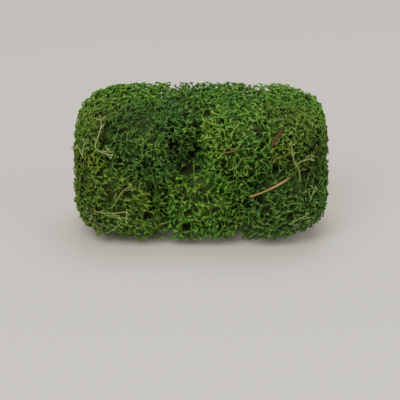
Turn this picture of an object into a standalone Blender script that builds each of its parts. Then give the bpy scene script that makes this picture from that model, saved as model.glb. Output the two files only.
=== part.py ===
"""A clump of dyed reindeer moss: tufts of forked lichen grown side by side, with dry litter in them.

Lengths in the tables are millimetres. The clump stands on the surface z = 0, its open front faces -Y,
and the origin is the middle of the flat spot under the biggest tuft.
"""

import math
import random

import bmesh
import bpy
from mathutils import Quaternion, Vector
from mathutils.bvhtree import BVHTree

MM = 0.001
FIRST_SEED = 120

# The space that the moss was pressed into: a box with well rounded corners
CLUMP_SIZE = Vector((122, 63, 67)) * MM
CLUMP_CENTRE = Vector((1, 1, 33.5)) * MM
CLUMP_ROUNDNESS = 4.8
FLOOR_CLEARANCE = 0.6 * MM
TUFT_GAP = 0.34 * MM
CAP_WELD = 0.01 * MM

# The wall between two tufts stays at least this share of the way from either one's centre
LEAST_WALL_SHARE = 0.32

# name: centre, reach of the branch tips, colour
TUFTS = {
    "tuft_centre_low": ((0, 0, 17), 29, "moss_bright"),
    "tuft_left_low": ((-40, -9, 19), 26, "moss_yellow"),
    "tuft_right_low": ((42, -9, 19), 26, "moss_deep"),
    "tuft_left_mid": ((-25, -14, 48), 20, "moss_deep"),
    "tuft_centre_mid": ((19, -15, 46), 20, "moss_bright"),
    "tuft_right_mid": ((43, -12, 48), 21, "moss_yellow"),
    "tuft_left_top": ((-49, -6, 48), 21, "moss_yellow"),
    "tuft_centre_top": ((15, 4, 50), 23, "moss_bright"),
    "tuft_middle_top": ((-9, 3, 49), 19, "moss_deep"),
    "tuft_right_top": ((43, 14, 50), 21, "moss_bright"),
    "tuft_back_left_low": ((-39, 16, 19), 25, "moss_deep"),
    "tuft_back_centre": ((-1, 20, 21), 21, "moss_bright"),
    "tuft_back_right_low": ((37, 17, 19), 25, "moss_bright"),
    "tuft_back_left_top": ((-33, 16, 49), 24, "moss_bright"),
    "tuft_back_centre_top": ((7, 21, 49), 20, "moss_deep"),
}

# The tuft that the clump rests on. Its heart is flat under here, and the origin is the flat spot's middle
STANDING_TUFT = "tuft_centre_low"
FOOT_RADIUS = 9 * MM

# Long loose stems that stand out of a tuft: the tuft, then the points from the heart to the forked end
LONG_STEMS = (
    ("tuft_left_top", ((-49, -6, 50), (-46.8, -20, 50), (-46, -26, 53), (-44.6, -25.6, 57), (-43.8, -23.5, 61))),
    ("tuft_left_top", ((-50, -6, 47), (-52, -19, 44), (-52.2, -23.6, 48))),
    ("tuft_left_low", ((-42, -10, 20), (-46, -22, 20), (-42, -27.4, 20.2), (-34.5, -28.4, 20.9))),
    ("tuft_left_low", ((-42, -10, 16), (-45, -22, 16.5), (-40, -27.4, 17.2), (-35, -28.2, 17.4))),
    ("tuft_left_low", ((-40, -10, 23), (-41.5, -22, 23), (-39, -27.4, 24.5), (-35.3, -28, 29))),
    ("tuft_right_mid", ((44, -14, 42), (45.9, -24, 37.8), (45.6, -27.4, 39.5), (44.4, -28, 43.6), (42.4, -27.6, 48))),
    ("tuft_right_mid", ((44, -14, 45), (45, -27, 44.4), (48.5, -27, 46))),
    ("tuft_right_low", ((43, -10, 20), (49, -21, 24), (52, -24, 29))),
)
LONG_STEM_RADIUS = 0.85 * MM
LONG_STEM_TAPER = 0.3
LONG_STEM_HEAD = 6.5 * MM
LONG_STEM_REACH = 40 * MM

# Dry litter caught in the moss: points along it, radius, colour
LITTER = {
    "dry_needle": (
        ((22.7, -26.8, 27.2), (28.5, -27.6, 29.1), (35, -27.7, 32.2), (41.8, -26.8, 37)), 0.65, "dry_straw",
    ),
    "brown_needle": (((6.5, -26.7, 47), (13.5, -27.7, 49), (20.9, -26.9, 50.4)), 0.6, "brown_straw"),
    "bark_scrap": (((38, -25.2, 59.2), (35.4, -26.6, 55.6), (32.9, -27, 51.6)), 0.9, "brown_bark"),
}
LITTER_GAP = 0.32 * MM
LITTER_END = 0.45
LITTER_RESTS = (0.3, 0.75)
LITTER_SEARCH = 20 * MM
REST_STRETCH = 1.35

# Dyed lichen and dry litter: base colour and roughness
FINISHES = {
    "moss_bright": ((0.085, 0.165, 0.028), 0.9),
    "moss_yellow": ((0.125, 0.175, 0.040), 0.9),
    "moss_deep": ((0.055, 0.120, 0.030), 0.9),
    "dry_straw": ((0.480, 0.330, 0.150), 0.6),
    "brown_straw": ((0.150, 0.055, 0.025), 0.7),
    "brown_bark": ((0.110, 0.050, 0.025), 0.8),
}

# The heart of a tuft: what lies this deep in the moss, and never less than a share of the way to the tips
HEART_DEPTH = 8.4 * MM
LEAST_HEART = 0.35
HEART_STEP = 0.5 * MM
HEART_KNOBS = 0.18
TUFT_BLEND = 4 * MM
HEART_SEGMENTS = 10
HEART_RINGS = 7

# A podetium forks in threes. Lengths are shares of its whole length, spreads are degrees from its parent
PODETIUM_SPACING = 16.2 * MM
LEAST_PODETIUM = 3.8 * MM
ROOT_SUNK = 1.6 * MM
BURIED = 2.6 * MM
TRUNK_RADIUS = 1.3 * MM
ARM_RADIUS = 1.05 * MM
TRUNK_SHARE = 0.34
ARM_SHARE = 0.40
TIP_SHARE = 0.36
ARM_SPREAD = 47
TIP_SPREAD = 36
CROTCH_RISE = 0.5 * ARM_RADIUS
UPWARD_LEAN = 0.15

# Of this many draws for each podetium, the one that crosses its neighbours least is kept, or none of them
PODETIUM_DRAWS = 4
MOST_CROSSINGS = 5
ANY_CROSSINGS = 1000

# How a podetium is bent clear of what it would cross: tries, turn and shrinking of each
BENDING_TRIES = 16
BENDING_TURN = math.radians(9)
BENDING_SHRINK = 0.972


def clear_scene():
    for obj in list(bpy.data.objects):
        bpy.data.objects.remove(obj, do_unlink=True)


def material(node, finish):
    colour, roughness = FINISHES[finish]
    made = bpy.data.materials.new(f"{node}_{finish}")
    made.use_nodes = True
    shader = made.node_tree.nodes["Principled BSDF"]
    shader.inputs["Base Color"].default_value = (*colour, 1)
    shader.inputs["Roughness"].default_value = roughness
    shader.inputs["Metallic"].default_value = 0
    return made


def outwardness(point):
    """0 in the middle of the clump, 1 on its pressed outline."""
    offset = point - CLUMP_CENTRE
    total = sum(abs(2 * offset[k] / CLUMP_SIZE[k]) ** CLUMP_ROUNDNESS for k in range(3))
    return total ** (1 / CLUMP_ROUNDNESS)


def depth_in_moss(point, tufts):
    """About how far a point is from the nearest place outside the moss."""
    share = outwardness(point)
    if share < 1e-6:
        return CLUMP_SIZE.z / 2
    offset = point - CLUMP_CENTRE
    slope = Vector()
    for k in range(3):
        slope[k] = (abs(2 * offset[k] / CLUMP_SIZE[k]) / share) ** (CLUMP_ROUNDNESS - 1) * 2 / CLUMP_SIZE[k]
    under_outline = (1 - share) / slope.length
    in_each_tuft = [tuft.reach - (point - tuft.centre).length for tuft in tufts]
    in_tufts = TUFT_BLEND * math.log(sum(math.exp(depth / TUFT_BLEND) for depth in in_each_tuft))
    return min(under_outline, in_tufts)


class Tuft:
    """One tuft: its place, and the cell that its neighbours and the pressed outline leave it."""

    def __init__(self, name):
        centre, reach, self.finish = TUFTS[name]
        self.name = name
        self.centre = Vector(centre) * MM
        self.reach = reach * MM
        self.walls = []

    def meet(self, other):
        """Adds the wall between this tuft and another: nearer the smaller one, half a gap back."""
        away = other.centre - self.centre
        apart = away.length
        share = 0.5 + (self.reach**2 - other.reach**2) / (2 * apart**2)
        share = min(1 - LEAST_WALL_SHARE, max(LEAST_WALL_SHARE, share))
        self.walls.append((away.normalized(), share * apart - TUFT_GAP / 2))

    def room(self, direction, floor):
        """How far the cell lets a straight line run from the tuft's centre."""
        far = 1.0
        for normal, distance in self.walls:
            slope = direction.dot(normal)
            if slope > 1e-6:
                far = min(far, distance / slope)
        if direction.z < -1e-6:
            far = min(far, (floor - self.centre.z) / direction.z)
        low, high = 0.0, far
        for _ in range(24):
            middle = (low + high) / 2
            if outwardness(self.centre + direction * middle) <= 1:
                low = middle
            else:
                high = middle
        return low

    def way_back(self, point, reach):
        """Roughly what a point outside the cell must move by to be inside it. Nothing for one inside."""
        arm = point - self.centre
        back = Vector((0, 0, max(0.0, FLOOR_CLEARANCE - point.z)))
        for normal, distance in self.walls:
            back -= normal * max(0.0, arm.dot(normal) - distance)
        outside = max(outwardness(point) - 1, arm.length / reach - 1, 0.0)
        return back - arm * outside

    def stands_on(self, direction):
        """Whether this way down from the centre meets the floor inside the flat foot."""
        if self.name != STANDING_TUFT or direction.z >= 0:
            return False
        return math.hypot(direction.x, direction.y) * self.centre.z / -direction.z < FOOT_RADIUS

    def heart_radius(self, direction, tufts):
        """Out to where the moss is no longer deep, or to the neighbours where it still is."""
        if self.stands_on(direction):
            return -self.centre.z / direction.z
        room = self.room(direction, FLOOR_CLEARANCE)
        radius = min(self.reach, room) * LEAST_HEART
        while radius < room and depth_in_moss(self.centre + direction * radius, tufts) > HEART_DEPTH:
            radius += HEART_STEP
        return min(radius, room)


class Litter:
    """One piece of litter: a thin bent rod that the podetia keep clear of."""

    def __init__(self, name):
        points, radius, self.finish = LITTER[name]
        self.name = name
        self.points = [Vector(point) * MM for point in points]
        self.radius = radius * MM

    def nearest(self, point):
        """The place on the rod's middle line that is nearest to a point."""
        places = [nearest_on(point, a, b) for a, b in zip(self.points, self.points[1:])]
        return min(places, key=lambda place: (place - point).length)

    def is_near(self, root):
        return (self.nearest(root) - root).length < LITTER_SEARCH

    def way_back(self, point):
        """What a podetium's point must move by to be clear of the rod."""
        away = point - self.nearest(point)
        return away.normalized() * max(0.0, self.radius + LITTER_GAP - away.length)

    def rests(self):
        """Two places along the rod that podetia hold up."""
        return [self.points[0].lerp(self.points[-1], share) for share in LITTER_RESTS]


def nearest_on(point, a, b):
    share = (point - a).dot(b - a) / (b - a).length_squared
    return a + (b - a) * min(1.0, max(0.0, share))


def golden_directions(count, rng):
    """Evenly spread directions, each nudged a little."""
    turn = math.pi * (3 - math.sqrt(5))
    start = rng.uniform(0, 2 * math.pi)
    found = []
    for k in range(count):
        z = 1 - 2 * (k + 0.5) / count
        flat = math.sqrt(1 - z * z)
        way = Vector((flat * math.cos(start + k * turn), flat * math.sin(start + k * turn), z))
        nudge = Vector([rng.uniform(-1, 1) for _ in range(3)]) * (0.8 / math.sqrt(count))
        found.append((way + nudge).normalized())
    return found


def heart(tuft, tufts, rng):
    """A knobbly globe, whose points slide along their own rays out to the heart's radius or just short."""
    bm = bmesh.new()
    bmesh.ops.create_uvsphere(bm, u_segments=HEART_SEGMENTS, v_segments=HEART_RINGS, radius=1)
    for vert in bm.verts:
        direction = vert.co.normalized()
        knob = 1 if tuft.stands_on(direction) else 1 - rng.uniform(0, HEART_KNOBS)
        vert.co = tuft.centre + direction * tuft.heart_radius(direction, tufts) * knob
    return bm


def section(middle, along, across, radius):
    """Three points of a stem's end: two outside, in the order of the edge below, and one inside."""
    inner = along.cross(across).normalized()
    side = inner.cross(along)
    return [
        middle + radius * (-side * math.sin(math.pi / 3) - inner / 2),
        middle + radius * (side * math.sin(math.pi / 3) - inner / 2),
        middle + radius * inner,
    ]


def fork(bm, end, along, spread, rng):
    """Pokes a stem's three-sided end face and gives, for each of its three parts, the way its arm grows."""
    middle = end.calc_center_median()
    poked = bmesh.ops.poke(bm, faces=[end])
    crotch = poked["verts"][0]
    crotch.co = middle + along * CROTCH_RISE
    arms = []
    for face in poked["faces"]:
        outer = [v for v in face.verts if v is not crotch]
        away = (outer[0].co + outer[1].co) / 2 - middle
        away = (away - along * away.dot(along)).normalized()
        angle = math.radians(spread * rng.uniform(0.75, 1.25))
        way = along * math.cos(angle) + away * math.sin(angle)
        way += Vector([rng.uniform(-0.14, 0.14) for _ in range(3)])
        arms.append((face, crotch, way.normalized()))
    return arms


def grow_arm(bm, face, crotch, way, length, radius):
    """Extrudes one part of a fork into an arm and returns the arm's end face."""
    order = list(face.verts)
    first = order.index(crotch)
    base = [order[(first + 1) % 3], order[(first + 2) % 3]]
    start = (base[0].co + base[1].co + crotch.co) / 3
    across = (base[1].co - base[0].co).normalized()
    places = section(start + way * length, way, across, radius)
    grown = bmesh.ops.extrude_discrete_faces(bm, faces=[face])["faces"][0]
    corners = list(grown.verts)
    for corner, place in zip(corners[first + 1:] + corners[:first + 1], places, strict=True):
        corner.co = place
    return grown


def point_tip(bm, face, way, length):
    """Ends an arm's part in a point."""
    middle = face.calc_center_median()
    tip = bmesh.ops.poke(bm, faces=[face])["verts"][0]
    tip.co = middle + way * length


def podetium(root, along, length, rng):
    """One forked stem: a trunk, three arms and nine pointed tips, all one closed surface."""
    bm = bmesh.new()
    trunk = length * TRUNK_SHARE
    bmesh.ops.create_cone(
        bm, cap_ends=True, segments=3, radius1=TRUNK_RADIUS, radius2=ARM_RADIUS, depth=trunk
    )
    turn = Vector((0, 0, 1)).rotation_difference(along)
    spin = Quaternion((0, 0, 1), rng.uniform(0, 2 * math.pi))
    for vert in bm.verts:
        vert.co = root + turn @ (spin @ vert.co + Vector((0, 0, trunk / 2)))
    ends = [face for face in bm.faces if len(face.verts) == 3]
    top = max(ends, key=lambda face: face.calc_center_median().dot(along))
    for face, crotch, way in fork(bm, top, along, ARM_SPREAD, rng):
        end = grow_arm(bm, face, crotch, way, length * ARM_SHARE * rng.uniform(0.8, 1.15), ARM_RADIUS)
        for part, _, tip_way in fork(bm, end, way, TIP_SPREAD, rng):
            point_tip(bm, part, tip_way, length * TIP_SHARE * rng.uniform(0.8, 1.2))
    return bm


def along_edges(bm):
    """Points all over a podetium: its corners, and places along its edges."""
    for vert in bm.verts:
        yield vert.co
    for edge in bm.edges:
        a, b = edge.verts
        for share in (0.25, 0.5, 0.75):
            yield a.co.lerp(b.co, share)


def bend_clear(bm, root, tuft, reach, litter):
    """Leans and draws in a podetium until the cell holds all of it, clear of litter. False if it can't."""
    near = [rod for rod in litter if rod.is_near(root)]
    for _ in range(BENDING_TRIES):
        push = Vector()
        for point in along_edges(bm):
            if (point - root).length > BURIED:
                push += tuft.way_back(point, reach)
                for rod in near:
                    push += rod.way_back(point)
        if push.length < 1e-7:
            return True
        reach_out = sum((vert.co for vert in bm.verts), Vector()) / len(bm.verts) - root
        axis = reach_out.normalized().cross(push.normalized())
        turn = Quaternion(axis, BENDING_TURN * axis.length)
        for vert in bm.verts:
            vert.co = root + turn @ (vert.co - root) * BENDING_SHRINK
    return False


def mesh_object(name, bm, collection):
    mesh = bpy.data.meshes.new(name)
    bm.to_mesh(mesh)
    bm.free()
    obj = bpy.data.objects.new(name, mesh)
    collection.objects.link(obj)
    return obj


def rod_object(name, points, radii, roundness, collection):
    """A bent rod as a mesh, from a curve with a bevel and filled caps."""
    curve = bpy.data.curves.new(name, "CURVE")
    curve.dimensions = "3D"
    curve.bevel_depth = 1
    curve.bevel_resolution = roundness
    curve.use_fill_caps = True
    spline = curve.splines.new("POLY")
    spline.points.add(len(points) - 1)
    for place, point, radius in zip(spline.points, points, radii, strict=True):
        place.co = (*point, 1)
        place.radius = radius
    guide = bpy.data.objects.new(name + "_guide", curve)
    collection.objects.link(guide)
    bpy.context.view_layer.update()
    mesh = bpy.data.meshes.new_from_object(guide.evaluated_get(bpy.context.evaluated_depsgraph_get()))
    bpy.data.objects.remove(guide, do_unlink=True)
    mesh.name = name
    bm = bmesh.new()
    bm.from_mesh(mesh)
    bmesh.ops.remove_doubles(bm, verts=bm.verts, dist=CAP_WELD)
    bpy.data.meshes.remove(mesh)
    return mesh_object(name, bm, collection)


def join_all(body, helpers):
    """One Boolean union of the body with every object in the helper collection, applied."""
    modifier = body.modifiers.new("join podetia", "BOOLEAN")
    modifier.operation = "UNION"
    modifier.operand_type = "COLLECTION"
    modifier.collection = helpers
    modifier.solver = "MANIFOLD"
    bpy.context.view_layer.update()
    graph = bpy.context.evaluated_depsgraph_get()
    joined = bpy.data.meshes.new_from_object(body.evaluated_get(graph))
    body.modifiers.clear()
    body.data = joined
    for obj in list(helpers.objects):
        bpy.data.objects.remove(obj, do_unlink=True)


def separate_surfaces(bm):
    """The mesh's surfaces, each as a list of its faces, the largest first. Two may touch at an edge."""
    waiting = set(bm.faces)
    found = []
    while waiting:
        frontier = [waiting.pop()]
        surface = []
        while frontier:
            face = frontier.pop()
            surface.append(face)
            inside_surface = [edge for edge in face.edges if len(edge.link_faces) == 2]
            near = {other for edge in inside_surface for other in edge.link_faces} & waiting
            waiting -= near
            frontier.extend(near)
        found.append(surface)
    return sorted(found, key=len, reverse=True)


def fill_pockets(mesh):
    """Fills what crossing stems seal off, by dropping all but the outer surface. Returns how many went."""
    bm = bmesh.new()
    bm.from_mesh(mesh)
    inner = separate_surfaces(bm)[1:]
    bmesh.ops.delete(bm, geom=[face for surface in inner for face in surface], context="FACES")
    bm.to_mesh(mesh)
    bm.free()
    return len(inner)


class Growth:
    """The stems growing on one tuft, waiting in the helper collection to be joined to its heart."""

    def __init__(self, tuft, skin, litter, helpers, rng):
        self.tuft = tuft
        self.skin = skin
        self.litter = litter
        self.helpers = helpers
        self.rng = rng
        self.stems = []

    def root(self, direction):
        """The place just under the heart's surface where a stem of this direction starts."""
        surface = self.skin.ray_cast(self.tuft.centre, direction)[0]
        return surface - direction * ROOT_SUNK

    def add_podetium(self, root, along, length, reach, most_crossings):
        """Adds the podetium, of a few draws, that crosses what has grown least, if it crosses little enough."""
        best = None
        fewest = most_crossings + 1
        for _ in range(PODETIUM_DRAWS):
            drawn = podetium(root, along, length, self.rng)
            clear = bend_clear(drawn, root, self.tuft, reach, self.litter)
            tree = BVHTree.FromBMesh(drawn)
            crossings = sum(len(tree.overlap(other)) for other in self.stems)
            if clear and crossings < fewest:
                best, drawn = drawn, best
                best_tree = tree
                fewest = crossings
            if drawn:
                drawn.free()
        if best:
            self.stems.append(best_tree)
            mesh_object(f"podetium_{len(self.stems)}", best, self.helpers)

    def add_rests(self):
        """The podetia that hold up the litter over this tuft, each reaching just short of it."""
        for rod in self.litter:
            for place in rod.rests():
                middle_line = rod.nearest(place)
                if self.tuft.way_back(middle_line, LONG_STEM_REACH).length > 0:
                    continue
                direction = (middle_line - self.tuft.centre).normalized()
                root = self.root(direction)
                length = (middle_line - root).length * REST_STRETCH
                self.add_podetium(root, direction, length, LONG_STEM_REACH, ANY_CROSSINGS)

    def add_long_stems(self):
        """The loose stems that stand out of this tuft, each with a forked head on its end."""
        for name, points in LONG_STEMS:
            if name != self.tuft.name:
                continue
            route = [Vector(point) * MM for point in points]
            radii = [LONG_STEM_RADIUS * (1 - LONG_STEM_TAPER * k / len(route)) for k in range(len(route))]
            stem = rod_object(f"long_stem_{len(self.stems)}", route, radii, 0, self.helpers).data
            corners = [vert.co for vert in stem.vertices]
            self.stems.append(BVHTree.FromPolygons(corners, [face.vertices for face in stem.polygons]))
            along = (route[-1] - route[-2]).normalized()
            self.add_podetium(
                route[-1] - along * ROOT_SUNK, along, LONG_STEM_HEAD, LONG_STEM_REACH, ANY_CROSSINGS
            )

    def add_podetia(self):
        """Podetia spread evenly over the heart, where the cell has room for them."""
        tuft = self.tuft
        count = round(4 * math.pi * (tuft.reach / PODETIUM_SPACING) ** 2)
        for direction in golden_directions(count, self.rng):
            root = self.root(direction)
            start = (root - tuft.centre).length
            space = min(tuft.reach, tuft.room(direction, FLOOR_CLEARANCE)) - start
            if space < LEAST_PODETIUM + ROOT_SUNK:
                continue
            along = (direction + Vector((0, 0, UPWARD_LEAN))).normalized()
            self.add_podetium(root, along, space, tuft.reach, MOST_CROSSINGS)


def build_tuft(tuft, tufts, litter, collection, helpers, seed):
    rng = random.Random(seed)
    middle = heart(tuft, tufts, rng)
    growth = Growth(tuft, BVHTree.FromBMesh(middle), litter, helpers, rng)
    body = mesh_object(tuft.name, middle, collection)
    growth.add_rests()
    growth.add_long_stems()
    growth.add_podetia()
    join_all(body, helpers)
    pockets = fill_pockets(body.data)
    body.data.materials.clear()
    body.data.materials.append(material(tuft.name, tuft.finish))
    print(tuft.name, len(growth.stems), "stems", len(body.data.polygons), "faces", pockets, "pockets filled")


def build_litter(rod, collection):
    radii = [rod.radius] * len(rod.points)
    radii[0] = radii[-1] = rod.radius * LITTER_END
    made = rod_object(rod.name, rod.points, radii, 1, collection)
    made.data.shade_smooth()
    made.data.materials.append(material(rod.name, rod.finish))


def main():
    clear_scene()
    scene = bpy.context.scene
    clump = bpy.data.collections.new("reindeer_moss_clump")
    helpers = bpy.data.collections.new("podetia_to_join")
    scene.collection.children.link(clump)
    scene.collection.children.link(helpers)
    tufts = [Tuft(name) for name in TUFTS]
    for tuft in tufts:
        for other in tufts:
            if other is not tuft:
                tuft.meet(other)
    litter = [Litter(name) for name in LITTER]
    for number, tuft in enumerate(tufts):
        build_tuft(tuft, tufts, litter, clump, helpers, FIRST_SEED + number)
    for rod in litter:
        build_litter(rod, clump)
    bpy.data.collections.remove(helpers)


main()
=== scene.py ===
import math
import bpy
import numpy as np
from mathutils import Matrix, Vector


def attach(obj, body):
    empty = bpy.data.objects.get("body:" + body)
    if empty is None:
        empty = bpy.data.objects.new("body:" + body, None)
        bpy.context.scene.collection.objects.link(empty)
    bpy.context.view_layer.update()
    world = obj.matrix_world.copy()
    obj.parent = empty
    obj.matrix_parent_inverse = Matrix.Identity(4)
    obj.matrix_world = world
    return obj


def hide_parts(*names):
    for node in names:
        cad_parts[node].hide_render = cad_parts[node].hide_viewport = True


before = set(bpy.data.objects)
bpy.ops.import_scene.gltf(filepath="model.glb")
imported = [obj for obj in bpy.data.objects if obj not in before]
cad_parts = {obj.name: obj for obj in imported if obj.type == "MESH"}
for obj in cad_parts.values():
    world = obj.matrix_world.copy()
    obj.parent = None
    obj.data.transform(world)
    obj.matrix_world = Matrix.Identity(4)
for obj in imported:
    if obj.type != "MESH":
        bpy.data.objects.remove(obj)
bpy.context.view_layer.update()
mm = 0.001
roundedShare = 0.56        # of the control radius, what is left of a stem once its cage is smoothed
body = "root"
print("frame loaded:", len(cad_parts), "solids")


# Rows of vectors

def lengthOf(rows):
    return np.sqrt((rows * rows).sum(-1, keepdims=True))


def unit(rows):
    return rows / np.maximum(lengthOf(rows), 1e-9)


def across(rows, axis):
    return rows - (rows * axis).sum(-1, keepdims=True) * axis


def smoothPath(points, count):
    # A Catmull-Rom curve through the points
    knots = np.array(points, float)
    knots = np.vstack([2 * knots[0] - knots[1], knots, 2 * knots[-1] - knots[-2]])
    found = []
    for value in np.linspace(0, len(points) - 1 - 1e-6, count):
        k = int(value)
        t = value - k
        a, b, c, d = knots[k:k + 4]
        found.append(0.5 * (2 * b + (c - a) * t + (2 * a - 5 * b + 4 * c - d) * t * t
                            + (3 * b - a - 3 * c + d) * t ** 3))
    return np.array(found)


# The whole clump: rounded heads of lichen pressed together until their outer faces are nearly flat.
# All sizes are in mm

clump = {
    "centre": (1, 1, 33.5),
    "size": (122, 63, 67),
    "roundness": 4.8,          # 2 would be an egg, and a large number a brick
    "softFrom": 0.9,           # share of the way out where the pressing starts to flatten twigs
    "floorGap": 0.6,
    "floorSoft": 2,            # mm over the floor gap where twigs start to bend up
    "clearance": 1.5,          # mm over the floor for hearts and places of sprigs, but for the foot
    "blend": 4,                # how softly neighbouring heads run together
    "wallGap": 0.34,           # between the room of two heads
    "leastWallShare": 0.32,
    "hollowDepth": 6,
}

# Centre, reach and dye of each head, as in the solids
tufts = {
    "tuft_centre_low": ((0, 0, 17), 29, "moss_bright"),
    "tuft_left_low": ((-40, -9, 19), 26, "moss_yellow"),
    "tuft_right_low": ((42, -9, 19), 26, "moss_deep"),
    "tuft_left_mid": ((-25, -14, 48), 20, "moss_deep"),
    "tuft_centre_mid": ((19, -15, 46), 20, "moss_bright"),
    "tuft_right_mid": ((43, -12, 48), 21, "moss_yellow"),
    "tuft_left_top": ((-49, -6, 48), 21, "moss_yellow"),
    "tuft_centre_top": ((15, 4, 50), 23, "moss_bright"),
    "tuft_middle_top": ((-9, 3, 49), 19, "moss_deep"),
    "tuft_right_top": ((43, 14, 50), 21, "moss_bright"),
    "tuft_back_left_low": ((-39, 16, 19), 25, "moss_deep"),
    "tuft_back_centre": ((-1, 20, 21), 21, "moss_bright"),
    "tuft_back_right_low": ((37, 17, 19), 25, "moss_bright"),
    "tuft_back_left_top": ((-33, 16, 49), 24, "moss_bright"),
    "tuft_back_centre_top": ((7, 21, 49), 20, "moss_deep"),
}
foot = {"tuft": "tuft_centre_low", "radius": 9}    # the flat spot that the clump stands on

# Hollows where the heads didn't fill the room, dented in and darkened with painted shade: middle, half size
# and share of the full depth and of the painted shade
hollows = (
    ((-46, -26, 63), (5, 10, 4), 1),
    ((-28, -27, 62.5), (8, 10, 3), 0.9),
    ((-23, -16, 67), (13, 6, 3.5), 0.8),
    ((-42, -30, 54), (3, 12, 3.5), 1),
    ((-40.5, -30, 46), (2.5, 12, 3), 1),
    ((-22.5, -30, 42), (2.5, 12, 5), 0.8),
    ((-11, -30, 49), (3.5, 13, 6.5), 1),
    ((-3.5, -30, 44), (6, 13, 4.5), 1),
    ((-32, -31, 30), (3.5, 11, 2), 0.8),
    ((-40, -30, 25), (2.5, 11, 3.5), 1),
    ((-22, -31, 31.5), (2.5, 11, 2.5), 0.8),
    ((-28, -31, 18), (3, 11, 2.5), 0.6),
    ((-49, -30, 14), (5, 9, 6), 0.5),
    ((-54, -27, 36), (5, 14, 15), 0.4),
    ((-40, -29, 7), (5, 11, 3), 0.8),
    ((26, -31, 32), (4, 12, 2.5), 1),
    ((31, -31, 22), (3, 12, 2.5), 0.9),
    ((33, -31, 43), (13, 12, 8), 0.3),
    ((46, -31, 37), (8, 12, 7), 0.35),
    ((56, -28, 46), (7.5, 14, 14), 1),
    ((-38, -28, 60), (12, 12, 6), 0.4),
    ((49, -30, 9), (8, 9, 4), 0.35),
    ((47, -17, 67), (11, 7, 4), 0.9),
)

clumpCentre = np.array(clump["centre"], float)
clumpHalf = np.array(clump["size"], float) / 2
tuftNames = list(tufts)
tuftCentres = np.array([tufts[name][0] for name in tuftNames], float)
tuftReaches = np.array([tufts[name][1] for name in tuftNames], float)


def outwardness(points):
    # 0 in the middle of the clump and 1 on its pressed outline
    shares = np.abs((points - clumpCentre) / clumpHalf) ** clump["roundness"]
    return shares.sum(-1, keepdims=True) ** (1 / clump["roundness"])


def hollowness(points):
    # 1 in the middle of a hollow and 0 far from it, for both its dent and its painted shade
    found = 0
    for place, half, share in hollows:
        found = found + share * np.exp(-(((points - np.array(place)) / np.array(half)) ** 2).sum(-1))
    return np.minimum(found, 1)


def depthInMoss(points):
    share = np.maximum(outwardness(points), 1e-4)
    slope = (np.abs((points - clumpCentre) / clumpHalf) / share) ** (clump["roundness"] - 1) / clumpHalf
    underOutline = ((1 - share) / lengthOf(slope))[..., 0]
    toCentres = lengthOf(points[..., None, :] - tuftCentres)[..., 0]
    inTufts = clump["blend"] * np.log(np.exp((tuftReaches - toCentres) / clump["blend"]).sum(-1))
    return np.minimum(underOutline, inTufts) - clump["hollowDepth"] * hollowness(points)


def outwardAt(points):
    step = 0.4
    slope = np.zeros_like(points)
    for k in range(3):
        shift = np.zeros(3)
        shift[k] = step
        slope[..., k] = depthInMoss(points - shift) - depthInMoss(points + shift)
    return unit(slope)


def wallsOf(index):
    normals, offsets = [], []
    for other in range(len(tuftNames)):
        if other == index:
            continue
        away = tuftCentres[other] - tuftCentres[index]
        apart = math.sqrt(away @ away)
        share = 0.5 + (tuftReaches[index] ** 2 - tuftReaches[other] ** 2) / (2 * apart ** 2)
        share = min(max(share, clump["leastWallShare"]), 1 - clump["leastWallShare"])
        normals.append(away / apart)
        offsets.append(share * apart - clump["wallGap"] / 2)
    return np.array(normals), np.array(offsets)


def roomAlong(directions, walls):
    facing = directions @ walls[0].T
    return np.where(facing > 1e-6, walls[1] / np.maximum(facing, 1e-6), 1e3).min(-1)


# Bits that lie in the moss: a dry pine needle, a browner one and a scrap of bark

# Each dry row holds dark, middle and light colours: streaks along the fibres spread them, with a painted
# highlight on the side facing the front and painted shade on the edges and back
litter = {
    "dry_needle": {
        "points": ((22.7, -27, 27), (28.5, -27.9, 29.6), (35, -28.1, 32.9), (41.8, -27.2, 36.9)),
        "radius": 0.62, "sections": 40, "around": 10, "groove": 0.34, "twist": 50,
        "slot": "dry_needle", "dry": ("#3a2210", "#80602c", "#b39254"),
    },
    "brown_needle": {
        "points": ((6.5, -26.7, 47), (13.5, -27.7, 49), (20.9, -26.9, 50.4)),
        "radius": 0.45, "sections": 30, "around": 10, "groove": 0.3, "twist": -70,
        "slot": "brown_needle", "dry": ("#26150a", "#5f3b19", "#85592f"),
    },
    "bark_scrap": {
        "points": ((38, -25.2, 59.2), (35.4, -26.6, 55.6), (32.9, -27, 51.6)),
        "radius": 0.62, "sections": 18, "around": 12,
        "slot": "bark", "dry": ("#1a0f07", "#3f2611", "#654220"),
    },
}

# The camera's place, in degrees and metres
view = {"elevation": 22.2, "azimuth": 0.8, "distance": 1.57, "lens": 307, "aim": (0.46, 0, 14.5)}

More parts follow.
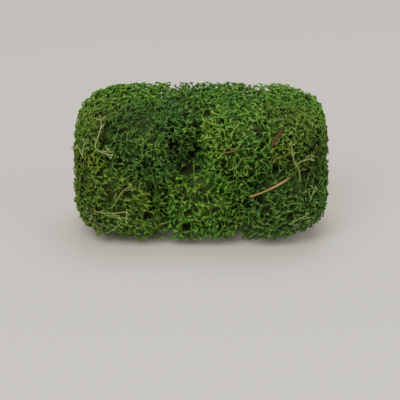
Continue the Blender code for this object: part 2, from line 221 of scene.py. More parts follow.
# Loose pale stems that show among the heads: tuft, paleness, size of the forked end, then the points
looseStems = {
    "radius": 0.46, "endRadius": 0.30,
    "sections": 5,                # for each point of its row
    "hidden": 4,                  # sections at its start that lie deep in the moss
    "lieAt": 0.96,                # share of the way out that it may reach at the front
    "clearing": 1.2,              # mm to each side of one that stays free of sprigs
    "branchlets": (0.55, 0.8),    # how far along it side branches leave
    "branchLength": (1.8, 3.4),
    "pales": (0.35, 1), "ages": (0.45, 0.8),      # from its start to its end
    "endPale": 0.8, "endAges": (0.7, 1.0),
    "branch": {"sections": 5, "along": 0.8, "jitter": 0.25, "bow": 0.5, "radii": (0.75, 0.6), "age": 0.75,
               "pale": 0.9, "forkSize": 0.6, "forkPale": 0.6, "forkAges": (0.75, 1.0)},
    "rows": (
        ("tuft_left_top", 1.0, 0.55, (
            (-49, -8, 50), (-46.8, -20, 50), (-46.4, -26.6, 50.6), (-45.9, -27, 53),
            (-44.7, -26.8, 56.6), (-43.7, -25.6, 60.4), (-43.9, -22.6, 62.6))),
        ("tuft_left_top", 1.0, 0.30, (
            (-46.4, -26.4, 50.6), (-45, -27.6, 49.6), (-42.2, -28.4, 48.6), (-39, -28.6, 47.7))),
        ("tuft_left_top", 0.9, 0.30, (
            (-42.4, -28.2, 48.6), (-41.2, -28.7, 49.5), (-40.4, -28.8, 50.4))),
        ("tuft_left_top", 0.8, 0.50, (
            (-50, -8, 46), (-52, -20, 44.5), (-52, -24.6, 45.3), (-52.2, -25, 48.2), (-50.8, -25, 52.6))),
        ("tuft_left_top", 0.8, 0.40, (
            (-52.2, -24.8, 48), (-53.4, -24, 48.6), (-54.6, -23, 49.3))),
        ("tuft_left_low", 0.5, 0.55, (
            (-40, -12, 20), (-40.5, -24, 20.5), (-39.2, -29.2, 22.4), (-37.4, -29.8, 24.9),
            (-35.1, -30, 29.2), (-32.8, -29.8, 31.7), (-30.5, -29.4, 32.7))),
        ("tuft_left_low", 0.6, 0.60, (
            (-47, -14, 19.5), (-47, -26, 19.8), (-45, -28.2, 19.9), (-39.9, -29.6, 19.7),
            (-32.3, -30.1, 20.8))),
        ("tuft_left_low", 0.6, 0.60, (
            (-42, -14, 17), (-42.5, -26, 18), (-38.6, -29.6, 18.2), (-32.8, -30, 17.6))),
        ("tuft_left_low", 0.4, 0.60, (
            (-42.5, -12, 13), (-46, -24.5, 8), (-45.6, -26.8, 7.8), (-39.8, -28.6, 10.6),
            (-35.7, -29.4, 14.2))),
        ("tuft_right_mid", 0.8, 0.55, (
            (44.5, -12, 41), (46, -26, 35.6), (45.9, -28.6, 36.4), (45.5, -29.2, 40.7),
            (44.3, -29.3, 43.7), (43.2, -29.3, 45.7), (42.2, -29, 49.7), (41.9, -28.4, 53))),
        ("tuft_right_mid", 0.8, 0.45, (
            (44.4, -29.2, 43.6), (46.4, -29, 45.4), (49.2, -28.4, 45.9), (51.2, -27.6, 46.4))),
        ("tuft_right_low", 0.6, 0.60, (
            (46, -14, 22), (50, -24, 24), (51.5, -26.5, 28), (52.5, -26, 31))),
        ("tuft_right_low", 0.5, 0.60, (
            (40, -14, 14), (41, -27, 14), (45, -29, 17), (49, -28, 18.5))),
    ),
}


def laidOn(path):
    # Moves a stem that stands proud back onto the moss, along the line of sight of the camera
    shares = np.abs((path - clumpCentre) / clumpHalf) ** clump["roundness"]
    room = np.maximum(looseStems["lieAt"] ** clump["roundness"] - shares[:, 0] - shares[:, 2], 0.2)
    front = clumpCentre[1] - clumpHalf[1] * room ** (1 / clump["roundness"])
    back = np.maximum(front - path[:, 1], 0)
    return path + back[:, None] * np.array([0, 1, -math.tan(math.radians(view["elevation"]))])


stemPaths = [laidOn(smoothPath(row[3], looseStems["sections"] * len(row[3])))
             for row in looseStems["rows"]]
litterGap, litterSections = 0.3, 24        # mm that twigs keep from litter, and points that stand for a piece
keptClear = [(smoothPath(row["points"], litterSections), row["radius"] + litterGap)
             for row in litter.values()]
keptClear += [(path, looseStems["radius"]) for path in stemPaths]


def pressed(points, index, walls, radius):
    # A twig gives way to the heads beside it, the flat outer faces, the floor and the litter
    flat = points.reshape(-1, 3).copy()
    for normal, offset in zip(*walls):
        over = (flat - tuftCentres[index]) @ normal - (offset + sprigs["crossing"])
        flat -= np.maximum(over, 0)[:, None] * normal
    share = outwardness(flat)
    start = clump["softFrom"]
    squeezed = start + (1 - start) * (1 - np.exp(-(share - start) / (1 - start)))
    scale = np.where(share > start, squeezed / np.maximum(share, 1e-6), 1)
    flat = clumpCentre + (flat - clumpCentre) * scale
    low, soft = clump["floorGap"] + radius, clump["floorSoft"]
    eased = low + soft * np.exp((flat[:, 2] - low - soft) / soft)
    flat[:, 2] = np.where(flat[:, 2] < low + soft, eased, flat[:, 2])
    for path, thickness in keptClear:
        keep = thickness + radius
        around = lengthOf(path - path.mean(0)).max() + keep
        near = np.flatnonzero(lengthOf(flat - path.mean(0))[:, 0] < around)
        if not len(near):
            continue
        gaps = lengthOf(flat[near, None] - path)[..., 0]
        close = gaps.min(1) < keep
        on = path[gaps[close].argmin(1)]
        out = unit(on - clumpCentre)
        away = flat[near[close]] - on
        over = np.maximum((away * out).sum(-1, keepdims=True), 0)
        flat[near[close]] = on + unit(away - 2 * over * out) * keep      # what lay over it goes under it
    return flat.reshape(points.shape)


# Growth: a knobbly dark heart in each head, and sprigs that fork in three, three times over

sprigs = {
    "spacing": 5.7,               # mm from sprig to sprig over the surface
    "lowSpacing": 4.9,            # the same in a lower layer of small sprigs
    "lowDepth": 3.4,              # mm under the surface, where that layer ends
    "underside": 1.9,             # times the spacing where the clump faces the floor
    "crossing": 1.8,              # mm that twigs reach in among those of the next head
    "deepest": 6.0,               # mm under the surface, in the creases between heads
    "rootedAt": 0.78,             # share of the way out to the heart's skin, so that each stem starts in it
    "crownHeight": 4.2,
    "armLengths": (4.0, 3.4, 2.4),
    "spread": (82, 76, 58),       # degrees from the stem at each fork
    "closeIn": (0.58, 0.58),      # share of the spread that is left past the middle of an arm
    "spreadJitter": 16,
    "turnJitter": 34,
    "stemRadius": 1.05,           # control sizes: the smooth surface is a little over half of these
    "radii": ((0.95, 0.82), (0.80, 0.70)),
    "axil": -0.35,                # mm that the middle of a fork lies under its rim
    "sizes": (0.80, 1.25),
    "short": 0.18,                # share of twigs that stayed short
    "sharpness": 0.5,             # of the tips, from 0 for round to 1
    "ages": (0.52, 0.92), "lowAges": (0.48, 0.8),      # how young twigs look, from first fork to tip
    "stemAges": (0.02, 0.12, 0.26),
    "upDepth": 0.6,               # mm under the surface, where the upper layer ends
    "lowHeight": 0.45,            # of the crown height, in the lower layer
    "shortBy": 0.55, "lengthJitter": (0.85, 1.15),
    "outLean": 0.8, "leanJitter": 0.14, "bendJitter": 0.45,
    "twigRadius": 0.35,
    "rays": 700, "reachSteps": (2, 44, 0.5),      # how each head is searched for its surface, in mm
    "overWall": 0.6,              # mm past its room where a head still carries sprigs
    "undersideFrom": -0.55,       # of the way down that the surface faces, where the underside starts
}
seeds = {"upper": 5, "lower": 6, "heads": 40, "bark": 9}
heart = {
    "depth": 8.0, "topDepth": 5.5,     # mm under the surface, at the sides and on top
    "least": 0.3,                      # of the head's reach
    "past": 10, "step": 0.5,           # mm searched beyond that reach, and how finely
    "around": 30, "rings": 18,
    "knobs": 0.09,
    "wallGap": 0.1,
    "mottle": 0.55,                    # how green the old stems still are, at most
}


class Growth:
    # The cage of one tuft, as it is grown
    def __init__(self):
        self.points, self.quads, self.triangles, self.count = [], [], [], 0
        self.layers = {"age": [], "patch": [], "pale": [], "crease_vert": []}

    def add(self, points, age, patch, pale=0.0, crease=0.0):
        flat = points.reshape(-1, 3)
        many = len(flat)
        self.points.append(flat)
        for key, value in (("age", age), ("patch", patch), ("pale", pale), ("crease_vert", crease)):
            value = np.ravel(value)
            self.layers[key].append(np.repeat(value, many // len(value)))
        first = self.count
        self.count += many
        return np.arange(first, self.count).reshape(points.shape[:-1])

    def sides(self, below, above):
        for k in range(3):
            after = (k + 1) % 3
            self.quads.append(np.stack([below[:, k], below[:, after], above[:, after], above[:, k]], -1))


def ringAround(centres, axes, towards, radius):
    # Three points round each centre, with the third on the side of towards: 0.866 is the sine of 60 degrees
    inner = unit(across(towards, axes))
    side = np.cross(inner, axes)
    return np.stack([
        centres - 0.5 * radius * inner - 0.866 * radius * side,
        centres - 0.5 * radius * inner + 0.866 * radius * side,
        centres + radius * inner,
    ], 1)


def forked(growth, ids, ring, centres, axes, age, patch, pale):
    # The end of a stem opens into three: the base triangles, their places and the ways out
    middle = centres + axes * sprigs["axil"]
    middleIds = growth.add(middle, age, patch, pale)
    bases, places, ways = [], [], []
    for k in range(3):
        after = (k + 1) % 3
        bases.append(np.stack([ids[:, k], ids[:, after], middleIds], -1))
        places.append(np.stack([ring[:, k], ring[:, after], middle], 1))
        ways.append(unit(across((ring[:, k] + ring[:, after]) / 2 - centres, axes)))
    return (np.stack(rows, 1).reshape(-1, *rows[0].shape[1:]) for rows in (bases, places, ways))


def growArms(growth, base, places, axes, ways, lengths, level, ages, patch, pale, press, rng):
    # Bowed arms on the base triangles: out at a wide angle, then closing in, as round a cup
    start = places.mean(1)
    turn = np.radians(rng.normal(0, sprigs["turnJitter"] / 2, len(base)))[:, None]
    ways = ways * np.cos(turn) + np.cross(axes, ways) * np.sin(turn)
    wide = sprigs["spread"][level] + rng.normal(0, sprigs["spreadJitter"] / 2, len(base))
    wide = np.radians(wide)[:, None]
    narrow = wide * sprigs["closeIn"][level]
    middle = press(start + (axes * np.cos(wide) + ways * np.sin(wide)) * lengths * 0.5)
    end = press(middle + (axes * np.cos(narrow) + ways * np.sin(narrow)) * lengths * 0.5)
    out = unit(end - middle)
    radii = sprigs["radii"][level]
    ring = ringAround(middle, unit(unit(middle - start) + out), places[:, 2] - start, radii[0])
    ids = growth.add(ring, (ages[0] + ages[1]) / 2, patch, pale)
    growth.sides(base, ids)
    endRing = ringAround(end, out, ring[:, 2] - middle, radii[1])
    endIds = growth.add(endRing, ages[1], patch, pale)
    growth.sides(ids, endIds)
    return endIds, endRing, end, out


def growTips(growth, base, places, axes, ways, lengths, age, patch, pale, press, rng):
    start = places.mean(1)
    wide = np.radians(sprigs["spread"][2] + rng.normal(0, sprigs["spreadJitter"], len(base)))[:, None]
    points = press(start + (axes * np.cos(wide) + ways * np.sin(wide)) * lengths)
    tipIds = growth.add(points, age, patch, pale, sprigs["sharpness"])
    for k in range(3):
        growth.triangles.append(np.stack([base[:, k], base[:, (k + 1) % 3], tipIds], -1))


def growCrown(growth, ids, ring, centres, axes, size, patch, pale, press, rng, ages=(0.3, 1.0), first=0):
    # Forks one after another: 27 tips from all three, or 9 where the first is left out
    ages = np.linspace(*ages, 4)
    for level in range(first, 3):
        base, places, ways = forked(growth, ids, ring, centres, axes, ages[level], patch, pale)
        axes, size, patch = (np.repeat(rows, 3, 0) for rows in (axes, size, patch))
        stunted = np.where(rng.random(len(base)) < sprigs["short"], sprigs["shortBy"], 1)
        uneven = rng.uniform(*sprigs["lengthJitter"], len(base))
        lengths = (sprigs["armLengths"][level] * size * stunted * uneven)[:, None]
        if level < 2:
            ids, ring, centres, axes = growArms(growth, base, places, axes, ways, lengths, level,
                                                ages[level:level + 2], patch, pale, press, rng)
        else:
            growTips(growth, base, places, axes, ways, lengths, ages[3], patch, pale, press, rng)


def growStems(growth, roots, bends, tops, ages, patch):
    # A bent stem from each root to its first fork
    radius = sprigs["stemRadius"]
    first, last = unit(bends - roots), unit(tops - bends)
    upright = np.where(np.abs(first[:, 2:]) < 0.9, np.array([[0, 0, 1.0]]), np.array([[1.0, 0, 0]]))
    ring = ringAround(roots, first, upright, radius)
    ids = growth.add(ring, ages[0], patch)
    growth.triangles.append(ids[:, ::-1])
    bent = ringAround(bends, unit(first + last), ring[:, 2] - roots, radius)
    bentIds = growth.add(bent, ages[1], patch)
    growth.sides(ids, bentIds)
    top = ringAround(tops, last, bent[:, 2] - bends, radius)
    topIds = growth.add(top, ages[2], patch)
    growth.sides(bentIds, topIds)
    return topIds, top, tops, last


def growTube(growth, path, radii, ages, patch, pale):
    # A loose stem along a path of many points
    axes = unit(np.gradient(path, axis=0))
    towards = np.array([[0, 0, 1.0]])
    below = None
    for k in range(len(path)):
        ring = ringAround(path[k:k + 1], axes[k:k + 1], towards, radii[k])
        ids = growth.add(ring, ages[k], patch, pale[k])
        if below is None:
            growth.triangles.append(ids[:, ::-1])
        else:
            growth.sides(below, ids)
        below, towards = ids, ring[:, 2] - path[k]
    return below, ring, path[-1:], axes[-1:]


def growLoose(growth, path, size, pale, rng):
    # A loose stem with a forked end and side branches that end in small forks
    still = lambda points: points
    patch = rng.uniform(0, 1, 1)
    radii = np.linspace(looseStems["radius"], looseStems["endRadius"], len(path)) / roundedShare
    pales = np.linspace(*looseStems["pales"], len(path)) * pale
    end = growTube(growth, path, radii, np.linspace(*looseStems["ages"], len(path)), patch, pales)
    growCrown(growth, *end, np.array([size]), patch, pale * looseStems["endPale"], still, rng,
              looseStems["endAges"], 1)
    axes = unit(np.gradient(path, axis=0))
    side = rng.choice([-1, 1])
    branch = looseStems["branch"]
    count = branch["sections"]
    for share in looseStems["branchlets"]:
        k = int(share * (len(path) - 1))
        side = -side
        sideways = side * np.cross(axes[k], [0, -1.0, 0])
        way = unit(axes[k] * branch["along"] + sideways + rng.normal(0, branch["jitter"], 3))
        length = rng.uniform(*looseStems["branchLength"])
        steps = np.linspace(0, 1, count)[:, None]
        bow = way + axes[k] * steps * branch["bow"]
        points = path[k] + unit(bow) * steps * length
        thin = np.linspace(*branch["radii"], count) * looseStems["radius"] / roundedShare
        tip = growTube(growth, points, thin, np.full(count, branch["age"]), patch,
                       np.full(count, pales[k] * branch["pale"]))
        growCrown(growth, *tip, np.array([branch["forkSize"]]), patch, pales[k] * branch["forkPale"], still,
                  rng, branch["forkAges"], 2)


def heartReach(index, directions):
    # How far out of a head's centre its old stems fill it, less deep under the top than under the sides
    reach = tuftReaches[index]
    steps = np.arange(heart["least"] * reach, reach + heart["past"], heart["step"])
    limit = heart["depth"] + (heart["topDepth"] - heart["depth"]) * np.maximum(directions[:, 2:], 0)
    deep = depthInMoss(tuftCentres[index] + directions[:, None] * steps[:, None]) > limit
    return np.where(deep.all(1), steps[-1], steps[(~deep).argmax(1)])


def growHeart(growth, index, walls, rng):
    # The crowded older stems in the middle of a head, as one rough dark lump deep under the twigs
    centre = tuftCentres[index]
    around, rings = heart["around"], heart["rings"]
    tilt = np.linspace(0, math.pi, rings + 1)[1:-1]
    turn = np.linspace(0, 2 * math.pi, around, endpoint=False)
    directions = np.stack([
        np.sin(tilt)[:, None] * np.cos(turn), np.sin(tilt)[:, None] * np.sin(turn),
        np.repeat(np.cos(tilt)[:, None], around, 1),
    ], -1).reshape(-1, 3)
    directions = np.vstack([directions, [[0, 0, 1], [0, 0, -1]]])
    radius = heartReach(index, directions) * (1 + rng.uniform(-1, 1, len(directions)) * heart["knobs"])
    radius = np.minimum(radius, roomAlong(directions, walls) - heart["wallGap"])
    standing = tuftNames[index] == foot["tuft"]
    if standing:
        toFloor = -centre[2] / np.minimum(directions[:, 2], -1e-3)
        under = centre + directions * toFloor[:, None]
        stands = (lengthOf(under[:, :2])[:, 0] < foot["radius"]) & (directions[:, 2] < -1e-3)
        radius = np.where(stands, toFloor, radius)
    points = centre + directions * radius[:, None]
    points[:, 2] = np.maximum(points[:, 2], 0 if standing else clump["clearance"])
    ids = growth.add(points, rng.uniform(0, heart["mottle"], len(points)), rng.uniform(0, 1, len(points)))
    grid = ids[:-2].reshape(rings - 1, around)
    after = np.roll(grid, -1, 1)
    for ring in range(rings - 2):
        growth.quads.append(np.stack([grid[ring], grid[ring + 1], after[ring + 1], after[ring]], -1))
    growth.triangles.append(np.stack([np.full(around, ids[-2]), grid[0], after[0]], -1))
    growth.triangles.append(np.stack([np.full(around, ids[-1]), after[-1], grid[-1]], -1))


def surfaceSpots(depth, spacing, seed):
    # Where sprigs end, evenly over the whole clump, with the head that each grows from
    golden = math.pi * (3 - math.sqrt(5))
    k = np.arange(sprigs["rays"])
    up = 1 - 2 * (k + 0.5) / len(k)
    flat = np.sqrt(1 - up * up)
    directions = np.stack([flat * np.cos(k * golden), flat * np.sin(k * golden), up], -1)
    steps = np.arange(*sprigs["reachSteps"])
    spots, owners, ways = [], [], []
    for index in range(len(tuftNames)):
        rays = tuftCentres[index] + directions[:, None] * steps[:, None]
        shallow = depthInMoss(rays) < depth
        room = roomAlong(directions, wallsOf(index)) + sprigs["overWall"]
        found = np.minimum(np.where(shallow.any(1), steps[shallow.argmax(1)], 1e3), room)
        ends = tuftCentres[index] + directions * found[:, None]
        seen = depthInMoss(ends) < depth + sprigs["deepest"]
        spots.append(ends[seen])
        ways.append(directions[seen])
        owners.append(np.full(seen.sum(), index))
    spots, ways, owners = np.vstack(spots), np.vstack(ways), np.concatenate(owners)
    out = outwardAt(spots)
    free = (spots[:, 2] > clump["clearance"]) | (lengthOf(spots[:, :2])[:, 0] > foot["radius"])
    for path in stemPaths:
        aside = lengthOf(spots[:, None, (0, 2)] - path[looseStems["hidden"]:, (0, 2)])[..., 0].min(1)
        free &= (aside > looseStems["clearing"]) | (spots[:, 1] > 0)
    rng = np.random.default_rng(seed)
    order = rng.permutation(np.flatnonzero(free))
    spacing = np.where(out[:, 2] < sprigs["undersideFrom"], sprigs["underside"], 1) * spacing
    kept, places = [], np.full((len(order), 3), 1e6)
    for k in order:
        if lengthOf(places[:len(kept)] - spots[k]).min(initial=1e6) >= spacing[k]:
            places[len(kept)] = spots[k]
            kept.append(k)
    return {"spots": spots[kept], "ways": ways[kept], "owners": owners[kept], "outs": out[kept]}


def growLayer(growth, index, layer, low, walls, press, rng):
    mine = layer["owners"] == index
    spots, ways, outs = (layer[key][mine] for key in ("spots", "ways", "outs"))
    many = len(spots)
    size = rng.uniform(*sprigs["sizes"], many)
    patch = rng.uniform(0, 1, many)
    lean = unit(ways + sprigs["outLean"] * outs + rng.normal(0, sprigs["leanJitter"], (many, 3)))
    inHeart = np.minimum(heartReach(index, ways), roomAlong(ways, walls)) * sprigs["rootedAt"]
    roots = tuftCentres[index] + ways * inHeart[:, None]
    height = sprigs["crownHeight"] * (sprigs["lowHeight"] if low else 1)
    tops = press(spots - lean * height * size[:, None])
    bends = press((roots + tops) / 2 + rng.normal(0, sprigs["bendJitter"], (many, 3)))
    ids, ring, centres, axes = growStems(growth, roots, bends, tops, sprigs["stemAges"], patch)
    growCrown(growth, ids, ring, centres, unit(axes + lean), size, patch, 0.0, press, rng,
              sprigs["lowAges"] if low else sprigs["ages"], int(low))
    return many


def meshFrom(name, growth):
    points = np.vstack(growth.points)
    quads, triangles = np.vstack(growth.quads), np.vstack(growth.triangles)
    mesh = bpy.data.meshes.new(name)
    mesh.vertices.add(len(points))
    mesh.vertices.foreach_set("co", (points * mm).astype(np.float32).ravel())
    corners = np.concatenate([quads.ravel(), triangles.ravel()]).astype(np.int32)
    sizes = np.concatenate([np.full(len(quads), 4), np.full(len(triangles), 3)])
    mesh.loops.add(len(corners))
    mesh.loops.foreach_set("vertex_index", corners)
    mesh.polygons.add(len(sizes))
    mesh.polygons.foreach_set("loop_start", np.concatenate([[0], np.cumsum(sizes)[:-1]]).astype(np.int32))
    mesh.polygons.foreach_set("use_smooth", np.ones(len(sizes), bool))
    mesh.update(calc_edges=True)
    layers = {key: np.concatenate(rows) for key, rows in growth.layers.items()}
    # Painted shade: how far each point lies in a hollow, which darkens its colour in the lichen
    layers["shaded"] = hollowness(points)
    for key, rows in layers.items():
        mesh.attributes.new(key, "FLOAT", "POINT").data.foreach_set("value", rows.astype(np.float32))
    mesh.validate()
    return mesh


def smoothed(name, mesh):
    # One step of subdivision rounds the few-sided stems
    piece = bpy.data.objects.new(name, mesh)
    bpy.context.scene.collection.objects.link(piece)
    rounding = piece.modifiers.new("round", "SUBSURF")
    rounding.levels = rounding.render_levels = 1
    final = bpy.data.meshes.new_from_object(piece.evaluated_get(bpy.context.evaluated_depsgraph_get()))
    piece.modifiers.clear()
    piece.data = final
    final.name = name
    bpy.data.meshes.remove(mesh)
    return piece


def growTuft(index):
    name = tuftNames[index]
    rng = np.random.default_rng(seeds["heads"] + index)
    walls = wallsOf(index)
    growth = Growth()
    press = lambda points: pressed(points, index, walls, sprigs["twigRadius"])
    growHeart(growth, index, walls, rng)
    many = growLayer(growth, index, upper, False, walls, press, rng)
    many += growLayer(growth, index, lower, True, walls, press, rng)
    for (owner, pale, size, points), path in zip(looseStems["rows"], stemPaths):
        if owner == name:
            growLoose(growth, path, size, pale, rng)
    piece = smoothed(name.replace("tuft", "moss"), meshFrom(name + "_cage", growth))
    triangles = sum(len(p.vertices) - 2 for p in piece.data.polygons)
    print(piece.name, many, "sprigs,", triangles, "triangles")
    return piece, triangles


upper = surfaceSpots(sprigs["upDepth"], sprigs["spacing"], seeds["upper"])
lower = surfaceSpots(sprigs["lowDepth"], sprigs["lowSpacing"], seeds["lower"])
print("sprigs:", len(upper["spots"]), "and", len(lower["spots"]), "below")
mossPieces, total = {}, 0
for index, name in enumerate(tuftNames):
    mossPieces[name], triangles = growTuft(index)
    total += triangles
print("moss triangles:", total)


# Litter

def loft(name, rings, layers):
    # A closed tube through rings of points, capped by fans
    count, around = rings.shape[:2]
    points = np.vstack([rings.reshape(-1, 3), rings[0].mean(0), rings[-1].mean(0)])
    faces = []
    for j in range(around):
        after = (j + 1) % around
        for k in range(count - 1):
            low, high = k * around, (k + 1) * around
            faces.append((low + j, high + j, high + after, low + after))
        last = (count - 1) * around
        faces.append((j, after, len(points) - 2))
        faces.append((last + after, last + j, len(points) - 1))
    mesh = bpy.data.meshes.new(name)
    mesh.from_pydata((points * mm).tolist(), [], faces)
    mesh.polygons.foreach_set("use_smooth", np.ones(len(faces), bool))
    for key, rows in layers.items():
        rows = np.concatenate([rows.ravel(), rows[0, :1], rows[-1, :1]]).astype(np.float32)
        mesh.attributes.new(key, "FLOAT", "POINT").data.foreach_set("value", rows)
    return mesh


def framesAlong(path):
    axes = unit(np.gradient(path, axis=0))
    side = unit(np.cross(axes, np.array([0, -1.0, 0])))
    return side, np.cross(side, axes)


def surfacePlaces(t, facing):
    # How far along each point of the rings lies, and how far it faces the front, for the colours: this drives
    # a painted highlight on the front and painted shade on the edges and back
    return {"along": np.repeat(t[:, None], len(facing), 1), "around": np.repeat(facing[None], len(t), 0)}


needleForm = {
    "pointed": (6, 0.12),              # how fast it comes to its point, and the share left there
    "waves": (0.86, 0.14, 9),          # mean width, how far it swells and shrinks, and how fast
    "sheath": (0.05, 0.8),             # share of the length, and of the width
    "back": 0.62,                      # of the width, as it is flatter behind
    "grooveWidth": 0.32,
}
barkForm = {
    "swell": (0.75, 0.35, 2.6, 0.3),   # half width along it: base, swell, pace and start
    "ragged": 0.16, "rough": 0.25,     # how far the edge and the faces wander
    "ends": 0.55,                      # share of the width left at both ends
    "wide": 1.25, "thick": 0.5, "curl": 0.35,
}


def buildNeedle(name, row):
    # Half-round like one leaf of a pair, grooved on its flat side, with a stub of sheath at the thick end
    path = smoothPath(row["points"], row["sections"])
    side, front = framesAlong(path)
    t = np.linspace(0, 1, row["sections"])
    pace, least = needleForm["pointed"]
    mean, swell, waves = needleForm["waves"]
    sheathLength, sheathWidth = needleForm["sheath"]
    width = row["radius"] * np.minimum(1, (1 - t) * pace + least) * (mean + swell * np.cos(t * waves))
    width = width * np.where(t < sheathLength, sheathWidth, 1)
    angle = np.linspace(0, 2 * math.pi, row["around"], endpoint=False)
    outline = np.where(np.sin(angle) < 0, needleForm["back"], 1.0)
    groove = 1 - row["groove"] * np.exp(-((angle - math.pi / 2) / needleForm["grooveWidth"]) ** 2)
    radius = width[:, None] * outline * groove
    swing = angle + np.radians(row["twist"]) * (t[:, None] - 0.5)
    rings = (path[:, None] + (radius * np.cos(swing))[..., None] * side[:, None]
             + (radius * np.sin(swing))[..., None] * front[:, None])
    # Painted light: the grooved side that faces the front gets the lighter colours, the edges and back the
    # darker
    facing = np.cos(angle - math.pi / 2) / 2 + 0.5
    return loft(name, rings, surfacePlaces(t, facing))


def buildBark(name, row):
    # A curled flake with ragged edges
    rng = np.random.default_rng(seeds["bark"])
    path = smoothPath(row["points"], row["sections"])
    side, front = framesAlong(path)
    t = np.linspace(0, 1, row["sections"])
    mean, swell, pace, begin = barkForm["swell"]
    ragged, rough = barkForm["ragged"], barkForm["rough"]
    edge = 1 + rng.uniform(-ragged, ragged, len(t))
    half = row["radius"] * (mean + swell * np.sin(t * pace + begin)) * edge
    half[[0, -1]] *= barkForm["ends"]
    angle = np.linspace(0, 2 * math.pi, row["around"], endpoint=False)
    wide = half[:, None] * np.cos(angle) * barkForm["wide"]
    uneven = 1 + rng.uniform(-rough, rough, (len(t), row["around"]))
    thick = half[:, None] * barkForm["thick"] * np.sin(angle) * uneven
    curl = barkForm["curl"] * (wide / row["radius"]) ** 2 * row["radius"]
    rings = path[:, None] + wide[..., None] * side[:, None] + (thick - curl)[..., None] * front[:, None]
    # Painted light: the face towards the front gets the lighter colours, the back the darker
    facing = np.sin(angle) / 2 + 0.5
    return loft(name, rings, surfacePlaces(t, facing))


litterPieces = {}
for name, row in litter.items():
    shape = buildBark if name == "bark_scrap" else buildNeedle
    litterPieces[name] = smoothed(name + "_shaped", shape(name + "_cage", row))
print("litter laid in")


# Materials

def linear(code):
    # An sRGB hex value as the linear colour that a socket takes
    values = [int(code[k:k + 2], 16) / 255 for k in (1, 3, 5)]
    return tuple(v / 12.92 if v <= 0.04045 else ((v + 0.055) / 1.055) ** 2.4 for v in values) + (1,)


def addNode(tree, kind, settings=None, inputs=None, links=None):
    node = tree.nodes.new(kind)
    for key, value in (settings or {}).items():
        setattr(node, key, value)
    for key, value in (inputs or {}).items():
        node.inputs[key].default_value = value
    for key, source in (links or {}).items():
        tree.links.new(source, node.inputs[key])
    return node


def newMaterial(name):
    material = bpy.data.materials.new(name)
    material.use_nodes = True
    material.node_tree.nodes.clear()
    return material, material.node_tree


def setRamp(node, stops):
    ramp = node.color_ramp.elements
    ramp[0].position, ramp[0].color = stops[0][0], linear(stops[0][1])
    ramp[1].position, ramp[1].color = stops[-1][0], linear(stops[-1][1])
    for position, code in stops[1:-1]:
        ramp.new(position).color = linear(code)


dyes = {
    # root, stem, twig and tip of the dyed lichen, then the tint of the sprigs that took more dye
    "moss_bright": ("#1d200f", "#3a4c1e", "#567d2d", "#77a43e", "#3c772d"),
    "moss_yellow": ("#1e200f", "#3f4c1e", "#59762b", "#7c993b", "#46742e"),
    "moss_deep": ("#1a1e0f", "#33461c", "#4a6f2c", "#6a933e", "#37672e"),
}
# hollow is a painted shade colour for twigs in the hollows, and hollowShare how far it goes; pale is the
# colour of the loose pale stems
paintedShadeAndPaleDye = {"hollow": "#14130a", "hollowShare": 0.88, "pale": "#84925c"}


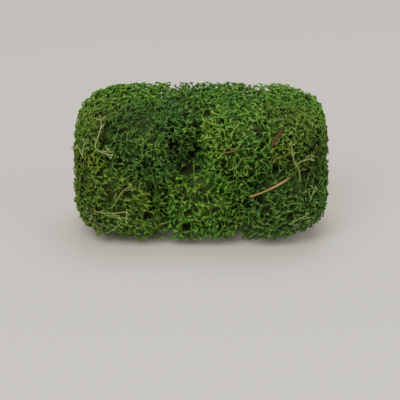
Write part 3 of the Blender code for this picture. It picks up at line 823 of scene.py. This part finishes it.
def dyedLichen(label, colours):
    # Reindeer lichen, dyed and kept soft with glycerine: matt and faintly cottony, darker down its stems,
    # with painted shade in the hollows
    material, tree = newMaterial("dyedLichen_" + label)
    root, stem, twig, tip, tint = colours
    age, patch, pale, shaded = (
        addNode(tree, "ShaderNodeAttribute", {"attribute_name": key}).outputs["Fac"]
        for key in ("age", "patch", "pale", "shaded"))
    place = addNode(tree, "ShaderNodeTexCoord").outputs["Object"]
    # The dye took unevenly over about 9 mm, and the cottony skin is drawn at 0.5 mm so that it shows
    blotch = addNode(tree, "ShaderNodeTexNoise", inputs={"Scale": 1 / (9 * mm), "Detail": 3},
                     links={"Vector": place}).outputs["Fac"]
    fibre = addNode(tree, "ShaderNodeTexNoise", inputs={"Scale": 1 / (0.5 * mm), "Detail": 4},
                    links={"Vector": place}).outputs["Fac"]
    aged = addNode(tree, "ShaderNodeMath", {"operation": "MULTIPLY_ADD"}, {1: 0.5},
                   {0: blotch, 2: age}).outputs[0]
    shifted = addNode(tree, "ShaderNodeMath", {"operation": "SUBTRACT"}, {1: 0.25}, {0: aged}).outputs[0]
    ramp = addNode(tree, "ShaderNodeValToRGB", links={"Fac": shifted})
    setRamp(ramp, ((0.08, root), (0.38, stem), (0.72, twig), (1, tip)))
    dyed = addNode(tree, "ShaderNodeMath", {"operation": "MULTIPLY"}, links={0: patch, 1: age}).outputs[0]
    tinted = addNode(tree, "ShaderNodeMix", {"data_type": "RGBA"}, {7: linear(tint)},
                     {0: dyed, 6: ramp.outputs["Color"]}).outputs[2]
    # Painted shade: where a twig lies in a hollow its colour is mixed towards near-black brown
    paintedShadeShare = addNode(tree, "ShaderNodeMath", {"operation": "MULTIPLY"}, {1: paintedShadeAndPaleDye["hollowShare"]},
                  {0: shaded}).outputs[0]
    withPaintedShade = addNode(tree, "ShaderNodeMix", {"data_type": "RGBA"}, {7: linear(paintedShadeAndPaleDye["hollow"])},
                     {0: paintedShadeShare, 6: tinted}).outputs[2]
    bleached = addNode(tree, "ShaderNodeMix", {"data_type": "RGBA"}, {7: linear(paintedShadeAndPaleDye["pale"])},
                       {0: pale, 6: withPaintedShade}).outputs[2]
    speckle = addNode(tree, "ShaderNodeMapRange", inputs={1: 0.3, 2: 0.7, 3: 0.75, 4: 1.22},
                      links={0: fibre}).outputs[0]
    colour = addNode(tree, "ShaderNodeMix", {"data_type": "RGBA", "blend_type": "MULTIPLY"}, {0: 1.0},
                     {6: bleached, 7: speckle}).outputs[2]
    # Knots of old stems are about 1.5 mm apart, and show where the sprigs leave a gap
    knots = addNode(tree, "ShaderNodeTexNoise", inputs={"Scale": 1 / (1.5 * mm), "Detail": 2},
                    links={"Vector": place}).outputs["Fac"]
    lumps = addNode(tree, "ShaderNodeBump", inputs={"Strength": 0.8, "Distance": 0.9 * mm},
                    links={"Height": knots}).outputs["Normal"]
    skin = addNode(tree, "ShaderNodeBump", inputs={"Strength": 0.6, "Distance": 0.12 * mm},
                   links={"Height": fibre, "Normal": lumps}).outputs["Normal"]
    shader = addNode(tree, "ShaderNodeBsdfPrincipled",
                     inputs={"Roughness": 0.9, "IOR": 1.45, "Specular IOR Level": 0.3},
                     links={"Base Color": colour, "Normal": skin})
    addNode(tree, "ShaderNodeOutputMaterial", links={"Surface": shader.outputs["BSDF"]})
    return material


def driedLeaf(label, codes, roughness):
    # A fallen leaf or flake that dried out: a thin wax or cork skin, streaked along its fibres, with a
    # painted highlight on the side facing the front and painted shade on its edges and back
    material, tree = newMaterial(label)
    dark, middle, light = codes
    along, around = (addNode(tree, "ShaderNodeAttribute", {"attribute_name": key}).outputs["Fac"]
                     for key in ("along", "around"))
    grain = addNode(tree, "ShaderNodeCombineXYZ", links={"X": along, "Y": around}).outputs[0]
    # Fibres run the whole length and are 0.1 mm apart across it
    fibres = addNode(tree, "ShaderNodeMapping", inputs={"Scale": (5, 14, 1)},
                     links={"Vector": grain}).outputs[0]
    streak = addNode(tree, "ShaderNodeTexNoise", inputs={"Scale": 1.6, "Detail": 5},
                     links={"Vector": fibres}).outputs["Fac"]
    # Painted light: the side facing the front is lifted towards the light colour, over the streaks along the
    # fibres
    grainAndPaintedLight = addNode(tree, "ShaderNodeMath", {"operation": "MULTIPLY_ADD"}, {1: 0.3},
                   {0: around, 2: streak}).outputs[0]
    ramp = addNode(tree, "ShaderNodeValToRGB", links={"Fac": grainAndPaintedLight})
    setRamp(ramp, ((0.42, dark), (0.7, middle), (0.98, light)))
    edge = addNode(tree, "ShaderNodeMapRange", inputs={1: 0.0, 2: 0.1, 3: 1.0, 4: 0.0},
                   links={0: along}).outputs[0]
    based = addNode(tree, "ShaderNodeMix", {"data_type": "RGBA"}, {7: linear(dark)},
                    {0: edge, 6: ramp.outputs["Color"]}).outputs[2]          # the sheath end is darker
    relief = addNode(tree, "ShaderNodeBump", inputs={"Strength": 0.5, "Distance": 0.08 * mm},
                     links={"Height": streak}).outputs["Normal"]
    shader = addNode(tree, "ShaderNodeBsdfPrincipled", inputs={"Roughness": roughness, "IOR": 1.45},
                     links={"Base Color": based, "Normal": relief})
    addNode(tree, "ShaderNodeOutputMaterial", links={"Surface": shader.outputs["BSDF"]})
    return material


lichens = {label: dyedLichen(label[5:], colours) for label, colours in dyes.items()}
leaves = {
    "dry_needle": driedLeaf("driedPineLeaf", litter["dry_needle"]["dry"], 0.5),
    "brown_needle": driedLeaf("weatheredPineLeaf", litter["brown_needle"]["dry"], 0.65),
    "bark_scrap": driedLeaf("flakedBark", litter["bark_scrap"]["dry"], 0.85),
}
for name, piece in {**mossPieces, **litterPieces}.items():
    moss = name in tufts
    piece.data.materials.clear()
    piece.data.materials.append(lichens[tufts[name][2]] if moss else leaves[name])
    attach(piece, body)
    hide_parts(name)
print("lichen dyed, litter dried")


# Floor, light and camera

softboxes = {
    "key": {"place": (-0.3, -0.9, 0.95), "size": 0.7, "watts": 14},
    "fill": {"place": (0.9, -0.6, 0.5), "size": 0.8, "watts": 5},
    "top": {"place": (0.1, 0.35, 1.2), "size": 0.8, "watts": 9},
}
scene = bpy.context.scene


def buildFloor(half=3.0):
    # Matt studio paper: pale and even, with no gloss
    mesh = bpy.data.meshes.new("floor")
    corners = [(-half, -half, 0), (half, -half, 0), (half, half, 0), (-half, half, 0)]
    mesh.from_pydata(corners, [], [(0, 1, 2, 3)])
    floor = bpy.data.objects.new("floor", mesh)
    scene.collection.objects.link(floor)
    material, tree = newMaterial("mattPaper")
    shader = addNode(tree, "ShaderNodeBsdfPrincipled",
                     inputs={"Base Color": linear("#d9d3c4"), "Roughness": 0.9})
    addNode(tree, "ShaderNodeOutputMaterial", links={"Surface": shader.outputs["BSDF"]})
    mesh.materials.append(material)


buildFloor()
camera = bpy.data.objects.new("camera", bpy.data.cameras.new("camera"))
scene.collection.objects.link(camera)
camera.data.lens = view["lens"]
camera.data.sensor_width = 36
aim = Vector(view["aim"]) * mm
tilt, turn = math.radians(view["elevation"]), math.radians(view["azimuth"])
back = Vector((math.sin(turn) * math.cos(tilt), -math.cos(turn) * math.cos(tilt), math.sin(tilt)))
camera.location = aim + back * view["distance"]
camera.rotation_euler = back.to_track_quat("Z", "Y").to_euler()
scene.camera = camera

for name, row in softboxes.items():
    lamp = bpy.data.lights.new(name, "AREA")
    lamp.size, lamp.energy = row["size"], row["watts"]
    light = bpy.data.objects.new(name, lamp)
    light.location = row["place"]
    light.rotation_euler = (Vector(row["place"]) - aim).to_track_quat("Z", "Y").to_euler()
    scene.collection.objects.link(light)
world = bpy.data.worlds.new("studio")
world.use_nodes = True
background = world.node_tree.nodes["Background"]
background.inputs["Color"].default_value = linear("#e6e6e2")
background.inputs["Strength"].default_value = 0.55
scene.world = world
print("stage set")
